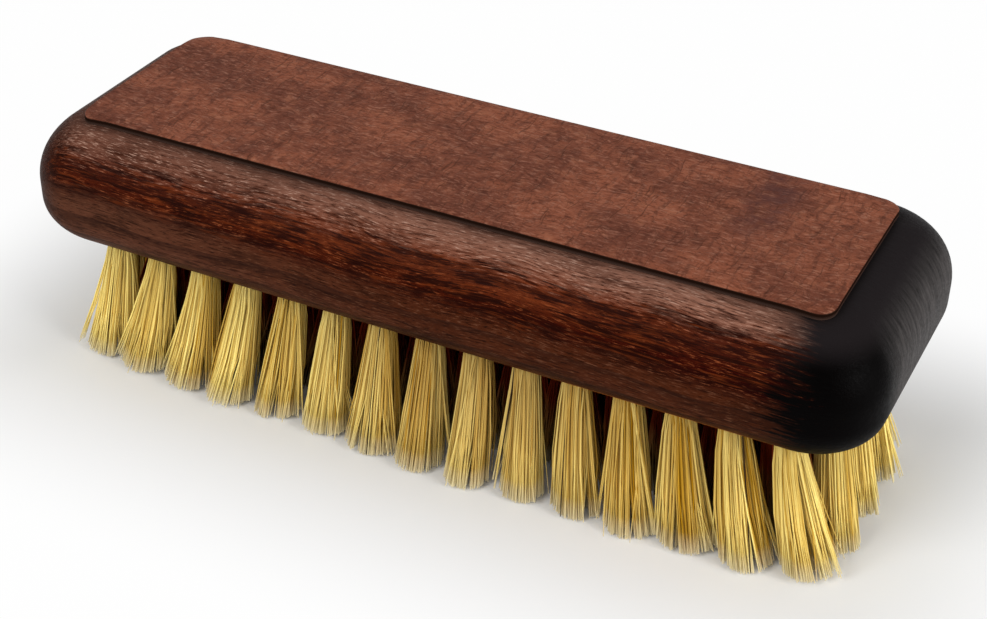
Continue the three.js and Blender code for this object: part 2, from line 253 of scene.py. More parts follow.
def stock_shell(bores, leans):
    """(points, faces) of the stock. Its sides are rounded rectangles stacked on a profile: a quarter
    ellipse for the belly, an upright wall and a quarter ellipse for the shoulder. The top closes on
    its middle by rings that shrink. The face is the lowest ring's area less a circle for each bore,
    and each bore is a chamfer, a leaning tube and a floor."""
    belly = np.linspace(np.pi / 2, 0, ROUNDING_RINGS)
    shoulder = np.linspace(0, np.pi / 2, ROUNDING_RINGS)
    inset = np.concatenate([BELLY_INSET * (1 - np.cos(belly)), SHOULDER_INSET * (1 - np.cos(shoulder))])
    height = np.concatenate([
        FACE_HEIGHT + BELLY_RISE * (1 - np.sin(belly)),
        STOCK_TOP - SHOULDER_DROP * (1 - np.sin(shoulder)),
    ])
    corner_radius = PLAN_CORNER_RADIUS - inset / 2
    plan = rounded_rings(BLOCK_LENGTH - 2 * inset, BLOCK_WIDTH - 2 * inset, corner_radius)
    count = plan.shape[1]
    sides = np.concatenate([plan, np.broadcast_to(height.reshape(-1, 1, 1), plan.shape[:2] + (1,))], -1)
    shrink = np.linspace(1, 0, CAP_RINGS + 1)[1:-1].reshape(-1, 1, 1)
    top = sides[-1:] * (1, 1, 0) * shrink + (0, 0, STOCK_TOP)
    shell = np.concatenate([sides, top]).reshape(-1, 3)
    rings = len(shell) // count
    points = [shell, [(0, 0, STOCK_TOP)]]
    faces = [ring_faces(rings, count), fan_faces((rings - 1) * count, count, len(shell))]
    used = len(shell) + 1

    turn = np.arange(BORE_SIDES) * 2 * np.pi / BORE_SIDES
    circle = np.stack([np.cos(turn), np.sin(turn)], -1)
    mouth = BORE_RADIUS + BORE_MOUTH
    edges = np.concatenate([plan[0], (bores[:, None] + mouth * circle).reshape(-1, 2)])
    loops = [np.arange(count)] + list(count + np.arange(len(bores) * BORE_SIDES).reshape(-1, BORE_SIDES))
    borders = np.concatenate([np.stack([loop, np.roll(loop, -1)], -1) for loop in loops])
    flat, _, triangles, *_ = delaunay_2d_cdt(edges.tolist(), borders.tolist(), [], 1, 1e-6)
    flat = np.array([tuple(point) for point in flat])
    triangles = np.array(triangles)
    middles = flat[triangles].mean(axis=1)
    in_bore = (np.linalg.norm(middles[:, None] - bores, axis=-1) < mouth).any(axis=1)
    points.append(np.c_[flat, np.full(len(flat), FACE_HEIGHT)])
    faces.append(triangles[~in_bore] + used)
    used += len(flat)

    depth = np.array([0, BORE_MOUTH, BORE_SHOWN])
    radius = np.array([mouth, BORE_RADIUS, BORE_RADIUS])
    slope = leans / FACE_HEIGHT
    leaning_depth = np.where(depth > BORE_MOUTH, depth, 0).reshape(1, -1, 1)
    axis = bores[:, None] - slope[:, None] * leaning_depth
    walls = axis[:, :, None] + radius.reshape(1, -1, 1, 1) * circle
    levels = np.broadcast_to((FACE_HEIGHT + depth).reshape(1, -1, 1, 1), walls.shape[:3] + (1,))
    walls = np.concatenate([walls, levels], -1).reshape(len(bores), -1, 3)
    floors = np.c_[axis[:, -1], np.full(len(bores), FACE_HEIGHT + BORE_SHOWN)]
    bore_points = np.concatenate([walls, floors[:, None]], axis=1)
    size = bore_points.shape[1]
    first = used + size * np.arange(len(bores)).reshape(-1, 1, 1)
    tube = ring_faces(len(depth), BORE_SIDES)
    cup = fan_faces((len(depth) - 1) * BORE_SIDES, BORE_SIDES, size - 1)
    points.append(bore_points.reshape(-1, 3))
    faces += [(first + tube).reshape(-1, 4), (first + cup).reshape(-1, 3)]
    return np.concatenate(points), faces


def laid_on_top(plan, level):
    """Points at a level over the stock, set along it with the panel. Past the stock's flat top they lie
    down by the drop of the shoulder's ellipse."""
    plan = plan + (PANEL_SET, 0)
    flat_radius = PLAN_CORNER_RADIUS - SHOULDER_INSET / 2
    flat_half = np.array((BLOCK_LENGTH, BLOCK_WIDTH)) / 2 - SHOULDER_INSET
    past_core = np.maximum(np.abs(plan) - (flat_half - flat_radius), 0)
    past_flat = np.linalg.norm(past_core, axis=-1) - flat_radius
    overhang = np.clip(past_flat / SHOULDER_INSET, 0, 1)
    level = level - SHOULDER_DROP * (1 - np.sqrt(1 - overhang ** 2))
    return np.concatenate([plan, level[..., None]], -1).reshape(-1, 3)


def film_shell():
    """(points, faces) of the glue film: two rounded rectangles, laid on the stock and closed by fans."""
    size = 2 * [PANEL_LENGTH - 2 * FILM_INSET], 2 * [PANEL_WIDTH - 2 * FILM_INSET]
    plan = rounded_rings(*size, 2 * [PANEL_CORNER_RADIUS - FILM_INSET])
    count = plan.shape[1]
    levels = np.array([FILM_LOW, PANEL_BASE])
    skin = laid_on_top(plan, np.broadcast_to(levels.reshape(-1, 1), plan.shape[:2]))
    points = np.concatenate([skin, np.c_[[PANEL_SET, PANEL_SET], [0, 0], levels]])
    low, high = len(skin), len(skin) + 1
    faces = [ring_faces(2, count), fan_faces(0, count, low)[:, ::-1], fan_faces(count, count, high)]
    return points, faces


def panel_shell():
    """(points, faces, edge) of the leather panel: rounded rectangles that step up its cut edge, turn
    through a quarter circle and shrink to the middle of the top, which waves by a sum of sines. Of the
    edge, rim is each point's distance in from the cut and rise its height over the panel's base."""
    turn = np.linspace(0, np.pi / 2, PANEL_EDGE_RINGS)
    edge_inset = np.concatenate([[0, 0], PANEL_EDGE_ROUND * (1 - np.cos(turn))])
    edge_height = np.concatenate([
        [PANEL_BASE, (PANEL_BASE + PANEL_TOP - PANEL_EDGE_ROUND) / 2],
        PANEL_TOP - PANEL_EDGE_ROUND * (1 - np.sin(turn)),
    ])
    inset = np.concatenate([edge_inset, PANEL_TOP_INSETS])
    height = np.concatenate([edge_height, np.full(len(PANEL_TOP_INSETS), PANEL_TOP)])
    radius = np.maximum(PANEL_CORNER_RADIUS - inset, PANEL_LEAST_RADIUS)
    plan = rounded_rings(PANEL_LENGTH - 2 * inset, PANEL_WIDTH - 2 * inset, radius)
    shrink = np.linspace(1, 0, CAP_RINGS * 2 + 1)[1:-1].reshape(-1, 1, 1)
    plan = np.concatenate([plan, plan[-1:] * shrink])
    height = np.concatenate([height, np.full(len(shrink), PANEL_TOP)])
    count = plan.shape[1]
    core_half = np.array((PANEL_LENGTH, PANEL_WIDTH)) / 2 - PANEL_CORNER_RADIUS
    past_core = np.abs(plan) - core_half
    outside_core = np.linalg.norm(np.maximum(past_core, 0), axis=-1)
    rim = PANEL_CORNER_RADIUS - outside_core - np.minimum(past_core.max(axis=-1), 0)
    x, y = plan[..., 0], plan[..., 1]
    # A long and a short wave, less their sum's most, so that they only sink
    wave = np.sin(x / 9.0 + 1.3) * np.cos(y / 7.0) + 0.6 * np.sin(x / 4.3 - y / 5.1) - 1.6
    waving = np.where(rim > PANEL_EDGE_ROUND, 1, 0) * np.minimum(rim / PANEL_WAVE_START, 1)
    level = height.reshape(-1, 1) + waving * PANEL_WAVE * wave
    skin = laid_on_top(plan, level)
    rings = len(skin) // count
    low = len(skin)
    points = np.concatenate([skin, [(PANEL_SET, 0, PANEL_TOP), (PANEL_SET, 0, PANEL_BASE)]])
    points[low, 2] = skin[-count:, 2].mean()
    faces = [
        ring_faces(rings, count),
        fan_faces((rings - 1) * count, count, low),
        fan_faces(0, count, low + 1)[:, ::-1],
    ]
    rise = np.broadcast_to(height.reshape(-1, 1), rim.shape) - PANEL_BASE
    edge = {
        "rim": np.append(rim, [PANEL_WIDTH / 2, PANEL_WIDTH / 2]),
        "rise": np.append(rise, [PANEL_TOP - PANEL_BASE, 0]),
    }
    return points, faces, edge


def bristle_hairs(bores, leans, tip_radii, field, rng):
    """(points, faces, shades) of the hairs of some tufts. A hair starts at a random place in its bore,
    more often near the edge, fans out in the same direction to the tuft's tip radius by a power of its
    length, leans with its tuft, gathers to one of a few locks and bows by a parabola. The first hairs of
    a tuft are its wisps, which start together at the bore's edge and end together in another direction.
    Each hair is a thin four-sided tube that tapers to its tip. Tips lie on a shallow dome. Of the shades,
    tone is each hair's own, and lower inside a tuft as painted shade, along runs from the face, 0, to the
    tip, 1, and deep is a painted shade that runs from the edge of the tuft field, 0, to its inside, 1,
    and is more in the middle of the stock."""
    tufts = len(bores)
    shape = (tufts, HAIRS_PER_TUFT)
    angle = rng.uniform(0, 2 * np.pi, shape)
    reach = rng.uniform(0, 1, shape) ** ROOT_CROWDING
    in_wisp = np.arange(HAIRS_PER_TUFT) < WISPS * WISP_HAIRS
    wisp = np.minimum(np.arange(HAIRS_PER_TUFT) // WISP_HAIRS, WISPS - 1)
    wisp_root = rng.uniform(0, 2 * np.pi, (tufts, WISPS))
    wisp_tip = wisp_root + rng.normal(0, WISP_TURN_NOISE, (tufts, WISPS))
    wisp_fan = rng.uniform(*WISP_FAN, (tufts, WISPS))
    angle = np.where(in_wisp, wisp_root[:, wisp] + WISP_ROOT * angle, angle)
    reach = np.where(in_wisp, 1, reach)
    root_reach = BORE_RADIUS * HAIR_ROOT_SPREAD * reach
    root = bores[:, None] + (root_reach * np.array([np.cos(angle), np.sin(angle)])).transpose(1, 2, 0)
    fan = tip_radii * rng.uniform(*TUFT_FAN, (tufts, 1)) * reach * rng.uniform(*HAIR_FAN, shape)
    fan = np.where(in_wisp, fan * wisp_fan[:, wisp], fan)
    turn_noise = rng.normal(0, HAIR_TURN_NOISE, shape) * np.where(in_wisp, WISP_TURN, 1)
    turned = np.where(in_wisp, wisp_tip[:, wisp], angle) + turn_noise
    oval = rng.uniform(*TUFT_OVAL, (tufts, 1))
    spread = (fan * np.array([oval * np.cos(turned), np.sin(turned) / oval])).transpose(1, 2, 0)
    spread[..., 1] *= np.where(in_wisp, WISP_SIDEWAYS, 1)

    lock_angle = rng.uniform(0, 2 * np.pi, (tufts, LOCKS))
    lock_reach = tip_radii * rng.uniform(0, 1, (tufts, LOCKS)) ** LOCK_CROWDING
    lock = (lock_reach * np.array([np.cos(lock_angle), np.sin(lock_angle)])).transpose(1, 2, 0)
    nearest = np.linalg.norm(spread[:, :, None] - lock[:, None], axis=-1).argmin(axis=-1)
    gather = np.where(in_wisp, 0, GATHER).reshape(1, -1, 1)
    spread += gather * (np.take_along_axis(lock, nearest[..., None], axis=1) - spread)
    stray = rng.uniform(0, 1, shape) < STRAY_SHARE
    tip_noise = rng.normal(0, HAIR_TIP_NOISE, shape + (2,))
    spread += tip_noise + stray[..., None] * rng.normal(0, STRAY_TIP_NOISE, shape + (2,))
    out = np.linalg.norm(spread, axis=-1) / tip_radii
    spread /= np.maximum(out / FAN_LIMIT, 1)[..., None]
    tuft_tilt = rng.normal(0, TUFT_TILT_NOISE, (tufts, 1, 2))
    tip = bores[:, None] + leans[:, None] + tuft_tilt + spread
    dome = DOME_RISE * np.clip(out / DOME_START - 1, 0, DOME_LIMIT) ** 2
    tip_height = TIP_CLEARANCE + rng.uniform(0, TUFT_TRIM, (tufts, 1)) + dome
    tip_height = tip_height + np.abs(rng.normal(0, HAIR_TRIM_NOISE, shape))

    share = np.linspace(-HAIR_ROOT_DEPTH / FACE_HEIGHT, 1, HAIR_RINGS)
    flare = np.maximum(share, 0) ** HAIR_FLARE + np.minimum(share, 0)
    bow = rng.normal(0, HAIR_BOW_NOISE, shape + (2,)) * np.where(in_wisp, WISP_BOW, 1 + stray)[..., None]
    arch = (4 * share * (1 - share)).reshape(1, 1, -1, 1)
    fanned = root[:, :, None] + flare.reshape(1, 1, -1, 1) * (tip - root)[:, :, None]
    axis = fanned + arch * bow[:, :, None]
    level = FACE_HEIGHT + share.reshape(1, 1, -1, 1) * (tip_height[:, :, None, None] - FACE_HEIGHT)
    taper = np.interp(share, [0, TAPER_START, 1], [1, 1, TIP_GAUGE])
    radius = HAIR_RADIUS * rng.uniform(*HAIR_GAUGE, shape + (1,)) * taper
    corner = rng.uniform(0, 2 * np.pi, shape + (1,)) + np.arange(HAIR_SIDES) * 2 * np.pi / HAIR_SIDES
    ring = np.stack([np.cos(corner), np.sin(corner)], -1)[:, :, None]
    skin = axis[:, :, :, None] + radius[:, :, :, None, None] * ring
    levels = np.broadcast_to(level[:, :, :, None], skin.shape[:4] + (1,))
    points = np.concatenate([skin, levels], -1).reshape(-1, 3)

    hairs = tufts * HAIRS_PER_TUFT
    size = HAIR_RINGS * HAIR_SIDES
    first = size * np.arange(hairs).reshape(-1, 1, 1)
    tube = ring_faces(HAIR_RINGS, HAIR_SIDES)[:, ::-1]
    tip_cap = np.arange(size - HAIR_SIDES, size)[::-1].reshape(1, -1)
    root_cap = np.arange(HAIR_SIDES).reshape(1, -1)
    caps = np.concatenate([tip_cap, root_cap])
    faces = [(first + tube).reshape(-1, 4), (first + caps).reshape(-1, HAIR_SIDES)]

    lock_tone = np.take_along_axis(rng.normal(0, LOCK_TONE_NOISE, (tufts, LOCKS)), nearest, axis=1)
    # Painted shade: hairs in the middle of a tuft are darker
    tone = TONE + WISP_TONE * in_wisp + CORE_SHADE_TONE * (reach - CORE_SHADE_REACH)
    tone = tone + rng.normal(0, HAIR_TONE_NOISE, shape) + lock_tone
    tone = np.clip(tone + rng.normal(0, TUFT_TONE_NOISE, (tufts, 1)), 0, 1)
    tone = np.where(rng.uniform(0, 1, shape) < ODD_SHARE, ODD_TONE, tone)
    inside = (field - np.abs(root)).min(axis=-1)
    soiled = MIDDLE_SHADE_SHARE * np.exp(-((root[..., 0] - MIDDLE_SHADE_PLACE) / MIDDLE_SHADE_REACH) ** 2)
    deep = np.clip(np.clip((inside - DEEP_START) / DEEP_REACH, 0, 1) + soiled, 0, 1)
    shades = {
        "tone": np.repeat(tone.reshape(-1), size),
        "along": np.tile(np.repeat(share, HAIR_SIDES), hairs),
        "deep": np.repeat(deep.reshape(-1), size),
    }
    return points, faces, shades


def linear(colour):
    """An sRGB hex colour as the linear RGBA that a shader's socket takes."""
    channels = np.array([int(colour[i:i + 2], 16) for i in (1, 3, 5)]) / 255
    bent = ((channels + 0.055) / 1.055) ** 2.4
    return (*np.where(channels <= 0.04045, channels / 12.92, bent), 1.0)


def add_node(tree, kind, settings=None, links=None):
    """Adds one shader node. A setting is a property of the node or the value of an input, and a link
    joins an input to an output of an earlier node."""
    node = tree.nodes.new("ShaderNode" + kind)
    for name, value in (settings or {}).items():
        if isinstance(name, str) and hasattr(node, name):
            setattr(node, name, value)
        else:
            node.inputs[name].default_value = value
    for name, output in (links or {}).items():
        tree.links.new(output, node.inputs[name])
    return node


def new_material(name):
    """(material, its node tree, its Principled shader)."""
    material = bpy.data.materials.new(name)
    material.use_nodes = True
    return material, material.node_tree, material.node_tree.nodes["Principled BSDF"]


# Inputs and outputs of a colour Mix node
FACTOR, COLOUR_A, COLOUR_B, COLOUR = 0, 6, 7, 2


def distance_outside(tree, place, middle, half):
    """How far a place lies outside a rectangle in plan, in metres, given its middle and half its sizes."""
    outside = place
    for operation, operand in (
        ("SUBTRACT", (*middle, 0)),
        ("ABSOLUTE", (0, 0, 0)),
        ("SUBTRACT", (*half, 0)),
        ("MAXIMUM", (0, 0, 0)),
        ("MULTIPLY", (1, 1, 0)),
    ):
        outside = add_node(
            tree, "VectorMath", {"operation": operation, 1: operand}, {0: outside},
        ).outputs["Vector"]
    return add_node(tree, "VectorMath", {"operation": "LENGTH"}, {0: outside}).outputs["Value"]


def stretched_noise(tree, place, sizes, detail, roughness, turn=(0, 0, 0), shift=0):
    """Noise whose grains have a size in millimetres along each axis, turned and shifted."""
    scale = [1 / (size * MM) for size in sizes]
    stretched = add_node(
        tree, "Mapping", {"Scale": scale, "Rotation": turn, "Location": 3 * (shift,)}, {"Vector": place},
    ).outputs["Vector"]
    return add_node(
        tree, "TexNoise", {"Scale": 1.0, "Detail": detail, "Roughness": roughness}, {"Vector": stretched},
    ).outputs["Fac"]


def faded(tree, share, spans):
    """A share times a smooth step along each axis, from 0 at its start to 1 at its end, in millimetres."""
    for axis, start, end in spans:
        step = add_node(
            tree, "MapRange",
            {"interpolation_type": "SMOOTHSTEP", "From Min": start * MM, "From Max": end * MM},
            {"Value": axis},
        ).outputs["Result"]
        share = add_node(tree, "Math", {"operation": "MULTIPLY"}, {0: share, 1: step}).outputs["Value"]
    return share


def wax_finish(tree, shader, colour, fibres, pores, roughness, relief):
    """A shader's colour under wax. The wax is rubbed smooth on high fibres, from the first roughness to
    the second, and fibres and pores show through it as a relief."""
    polish = add_node(
        tree, "MapRange",
        {"From Min": 0.3, "From Max": 0.7, "To Min": roughness[0], "To Max": roughness[1]},
        {"Value": fibres},
    ).outputs["Result"]
    level = add_node(tree, "Math", {"operation": "ADD"}, {0: fibres, 1: pores}).outputs["Value"]
    bump = add_node(
        tree, "Bump", {"Strength": relief, "Distance": 0.1 * MM}, {"Height": level},
    ).outputs["Normal"]
    tree.links.new(colour, shader.inputs["Base Color"])
    tree.links.new(polish, shader.inputs["Roughness"])
    tree.links.new(bump, shader.inputs["Normal"])


def stained_beech():
    """Beech, sanded, stained dark and waxed. The stain sinks unevenly into the fibres, so fine dark and
    pale dashes run along the stock and waver with its grain. The shoulder is painted pale, a painted sheen
    of the wax, with painted glints for its pale dashes, the side below keeps the red of the stain in long
    streaks, and each zone's change of colour along the stock is painted light. The end grain has drunk the
    stain until it went black, with a painted grey sheen on the end face, and a painted shadow lies on the
    wood against the panel's edge."""
    material, tree, shader = new_material("stained waxed beech")
    place = add_node(tree, "TexCoord").outputs["Object"]
    axes = add_node(tree, "SeparateXYZ", {}, {"Vector": place})
    along, across, height = axes.outputs["X"], axes.outputs["Y"], axes.outputs["Z"]
    drift = add_node(tree, "TexNoise", {"Scale": 1 / (24 * MM), "Detail": 1.0}, {"Vector": place})
    grain_place = add_node(
        tree, "VectorMath", {"operation": "MULTIPLY_ADD", 1: (0, 3 * MM, 3 * MM)},
        {0: drift.outputs["Color"], 2: place},
    ).outputs["Vector"]

    # Noise drawn out along the stock: fibres, short dashes between them, long streaks, thin bright lines
    # and patches, as (length, width, detail, shift)
    grain = {}
    for label, length, width, detail, shift in (
        ("fibre", 7, 0.5, 3.0, 0),
        ("dash", 1.8, 0.21, 4.0, 5),
        ("streak", 11, 1.1, 4.0, 9),
        ("ember", 7, 0.45, 3.0, 13),
        ("patch", 12, 3.5, 2.0, 17),
    ):
        sizes = (length, width, width)
        grain[label] = stretched_noise(tree, grain_place, sizes, detail, roughness=0.62, shift=shift)

    # How much of each shade the grain takes: (noise, from, to, share at most)
    shares = {}
    for label, noise, start, end, most in (
        ("stain", "fibre", 0.5, 0.34, 0.6),
        ("shadow", "patch", 0.5, 0.36, 0.4),
        ("pale", "dash", 0.54, 0.68, 0.9),
        ("fleck", "dash", 0.46, 0.33, 0.9),
        ("sunk", "streak", 0.51, 0.42, 0.92),
        ("bright", "ember", 0.5, 0.7, 0.5),
    ):
        shares[label] = add_node(
            tree, "MapRange",
            {"interpolation_type": "SMOOTHSTEP", "From Min": start, "From Max": end, "To Max": most},
            {"Value": grain[noise]},
        ).outputs["Result"]

    # Growth rings, drawn out along the stock, darken to the line where each ends
    ring_place = add_node(
        tree, "Mapping", {"Scale": (0.15, 1, 1)}, {"Vector": grain_place},
    ).outputs["Vector"]
    ring = add_node(
        tree, "TexWave",
        {
            "bands_direction": "Z", "wave_profile": "SAW", "Scale": 2 * math.pi / (20 * 4.3 * MM),
            "Distortion": 2.0, "Detail": 3.0, "Detail Scale": 2.0,
        },
        {"Vector": ring_place},
    ).outputs["Fac"]
    shares["ring"] = add_node(
        tree, "MapRange",
        {"interpolation_type": "SMOOTHSTEP", "From Min": 0.45, "From Max": 1.0, "To Max": 0.55},
        {"Value": ring},
    ).outputs["Result"]

    # Below the shoulder the stain is thin, most at the middle of the stock, and shows as rust
    from_middle = add_node(tree, "Math", {"operation": "ABSOLUTE"}, {0: along}).outputs["Value"]
    thin = add_node(
        tree, "MapRange", {"From Min": 58 * MM, "From Max": 16 * MM, "To Min": 0.2, "To Max": 0.85},
        {"Value": from_middle},
    ).outputs["Result"]
    shares["rust"] = faded(tree, thin, [(height, 37, 42)])

    # Three zones of height: (colour at the left, colour at the right, where along the stock the one
    # starts to turn into the other, where it ends, pale dashes, dark dashes). The shoulder's colours are a
    # painted sheen and its pale dashes painted glints, and the change from the left colour to the right
    # is painted light along the stock. The side's rust lies under its dashes.
    zones = {}
    for zone, left, right, start, end, pale, dark in (
        ("belly", "#522f20", "#421d0c", -62, 0, "#5f3a28", "#180702"),
        ("side", "#360b01", "#260000", 14, 64, "#7e4022", "#120100"),
        # The shoulder: a painted sheen, with painted glints for its pale dashes
        ("shoulder", "#653f31", "#8d614f", -54, 48, "#a88473", "#30160d"),
    ):
        gradient = add_node(
            tree, "MapRange", {"From Min": start * MM, "From Max": end * MM}, {"Value": along},
        ).outputs["Result"]
        tone = add_node(
            tree, "Mix", {"data_type": "RGBA", COLOUR_A: linear(left), COLOUR_B: linear(right)},
            {FACTOR: gradient},
        ).outputs[COLOUR]
        under = (("#642a10", "rust"),) if zone == "side" else ()
        for shade, share in under + ((dark, "stain"), (dark, "shadow"), (pale, "pale"), (dark, "fleck")):
            tone = add_node(
                tree, "Mix", {"data_type": "RGBA", COLOUR_B: linear(shade)},
                {FACTOR: shares[share], COLOUR_A: tone},
            ).outputs[COLOUR]
        zones[zone] = tone

    # Shades over the dashes
    for zone, shade, share in (
        ("belly", "#22100a", "ring"),
        ("side", "#1c0301", "ring"),
        ("side", "#1c0401", "sunk"),
        ("side", "#6e2f10", "bright"),
    ):
        zones[zone] = add_node(
            tree, "Mix", {"data_type": "RGBA", COLOUR_B: linear(shade)},
            {FACTOR: shares[share], COLOUR_A: zones[zone]},
        ).outputs[COLOUR]

    # Each zone begins at a height that tilts along the stock, and the grain carries the red past both its
    # edges: (tilt, way that it is carried, from height, to height)
    wood = zones["belly"]
    for zone, tilt, carried, start, end in (
        ("side", 0.018, -1, 28.7, 32.7),
        ("shoulder", -0.009, 1, 46.5, 50.1),
    ):
        level = add_node(
            tree, "Math", {"operation": "MULTIPLY_ADD", 1: tilt}, {0: along, 2: height},
        ).outputs["Value"]
        for noise, reach in (("streak", 3), ("fibre", 3.5), ("dash", 3.5)):
            level = add_node(
                tree, "Math", {"operation": "MULTIPLY_ADD", 1: carried * reach * MM},
                {0: grain[noise], 2: level},
            ).outputs["Value"]
        above = add_node(
            tree, "MapRange",
            {"interpolation_type": "SMOOTHSTEP", "From Min": start * MM, "From Max": end * MM},
            {"Value": level},
        ).outputs["Result"]
        wood = add_node(
            tree, "Mix", {"data_type": "RGBA"}, {FACTOR: above, COLOUR_A: wood, COLOUR_B: zones[zone]},
        ).outputs[COLOUR]

    # A paler orange band along the lower edge of the right half, over the bristles
    low_edge = add_node(
        tree, "MapRange",
        {
            "interpolation_type": "SMOOTHSTEP", "From Min": (FACE_HEIGHT + 2.5) * MM,
            "From Max": (FACE_HEIGHT + 1.5) * MM, "To Max": 0.85,
        },
        {"Value": height},
    ).outputs["Result"]
    right_half = add_node(
        tree, "MapRange", {"From Min": 14 * MM, "From Max": 34 * MM}, {"Value": along},
    ).outputs["Result"]
    orange_edge = add_node(
        tree, "Math", {"operation": "MULTIPLY"}, {0: low_edge, 1: right_half},
    ).outputs["Value"]

    # A strip along the panel that is rubbed smooth, by the distance from the panel less its corner radius
    core = [(size / 2 - PANEL_CORNER_RADIUS) * MM for size in (PANEL_LENGTH, PANEL_WIDTH)]
    outside = distance_outside(tree, place, (PANEL_SET * MM, 0), core)
    strip = add_node(
        tree, "MapRange",
        {
            "interpolation_type": "SMOOTHSTEP", "From Min": (PANEL_CORNER_RADIUS + 1.2) * MM,
            "From Max": (PANEL_CORNER_RADIUS + 3.2) * MM, "To Min": 0.25, "To Max": 0.0,
        },
        {"Value": outside},
    ).outputs["Result"]

    # The left end grain, stained deeper than the side
    deep_end = add_node(
        tree, "MapRange",
        {"interpolation_type": "SMOOTHSTEP", "From Min": -64 * MM, "From Max": -71 * MM, "To Max": 0.75},
        {"Value": along},
    ).outputs["Result"]
    for shade, share in (("#9a5419", orange_edge), ("#5d4136", strip), ("#281107", deep_end)):
        wood = add_node(
            tree, "Mix", {"data_type": "RGBA", COLOUR_B: linear(shade)}, {FACTOR: share, COLOUR_A: wood},
        ).outputs[COLOUR]

    # The right end, soaked black. Fibres carry the stain on into the side, further low down than high
    # up, over the flat top further still, and on the belly less far.
    reach = add_node(
        tree, "MapRange",
        {"From Min": 36 * MM, "From Max": 44 * MM, "To Min": 26 * MM, "To Max": 9 * MM},
        {"Value": height},
    ).outputs["Result"]
    fray = add_node(
        tree, "Math", {"operation": "SUBTRACT", 1: 0.5}, {0: grain["fibre"]},
    ).outputs["Value"]
    soak = add_node(
        tree, "Math", {"operation": "MULTIPLY_ADD"}, {0: fray, 1: reach, 2: along},
    ).outputs["Value"]
    soak = add_node(
        tree, "Math", {"operation": "MULTIPLY_ADD", 1: -0.2}, {0: height, 2: soak},
    ).outputs["Value"]
    for start, end, further in ((43.5, 45.4, 2), (32, 26, -3.5)):
        shift = add_node(
            tree, "MapRange", {"From Min": start * MM, "From Max": end * MM, "To Max": further * MM},
            {"Value": height},
        ).outputs["Result"]
        soak = add_node(tree, "Math", {"operation": "ADD"}, {0: soak, 1: shift}).outputs["Value"]
    soaked = add_node(
        tree, "MapRange", {"interpolation_type": "SMOOTHSTEP", "From Min": 49 * MM, "From Max": 57 * MM},
        {"Value": soak},
    ).outputs["Result"]

    # Its flat top is worn to a dull grey, and away from the front corner its face carries a painted grey
    # sheen, a reflection of light from the right
    worn_top = add_node(
        tree, "MapRange",
        {"interpolation_type": "SMOOTHSTEP", "From Min": 41 * MM, "From Max": 44.5 * MM},
        {"Value": height},
    ).outputs["Result"]
    black = add_node(
        tree, "Mix", {"data_type": "RGBA", COLOUR_A: linear("#020101"), COLOUR_B: linear("#1c1819")},
        {FACTOR: worn_top},
    ).outputs[COLOUR]
    streak = stretched_noise(tree, place, (4, 0.7, 6), detail=4.0, roughness=0.65, turn=(0.3, 0, 0))
    painted_end_sheen = add_node(
        tree, "MapRange", {"From Min": 0.34, "From Max": 0.66, "To Min": 0.35, "To Max": 1.1},
        {"Value": streak},
    ).outputs["Result"]
    painted_end_sheen = faded(tree, painted_end_sheen, [(along, 69.5, 74.8), (across, -18, -7)])
    black = add_node(
        tree, "Mix", {"data_type": "RGBA", COLOUR_B: linear("#423e3d")},
        {FACTOR: painted_end_sheen, COLOUR_A: black},
    ).outputs[COLOUR]
    wood = add_node(
        tree, "Mix", {"data_type": "RGBA"}, {FACTOR: soaked, COLOUR_A: wood, COLOUR_B: black},
    ).outputs[COLOUR]

    # Painted shadow on the wood against the panel's edge, darkest at the edge
    panel_shadow = add_node(
        tree, "MapRange",
        {
            "interpolation_type": "SMOOTHSTEP", "From Min": PANEL_CORNER_RADIUS * MM,
            "From Max": (PANEL_CORNER_RADIUS + 1.4) * MM, "To Min": 0.4, "To Max": 0.0,
        },
        {"Value": outside},
    ).outputs["Result"]
    on_top = add_node(
        tree, "MapRange", {"From Min": 40 * MM, "From Max": 42 * MM}, {"Value": height},
    ).outputs["Result"]
    shadow_line = add_node(tree, "Math", {"operation": "MULTIPLY"}, {0: panel_shadow, 1: on_top}).outputs["Value"]
    wood = add_node(
        tree, "Mix", {"data_type": "RGBA", COLOUR_B: linear("#14100f")}, {FACTOR: shadow_line, COLOUR_A: wood},
    ).outputs[COLOUR]

    wax_finish(tree, shader, wood, grain["fibre"], grain["dash"], roughness=(0.55, 0.36), relief=0.5)
    shader.inputs["IOR"].default_value = 1.5
    shader.inputs["Specular IOR Level"].default_value = 0.02
    return material


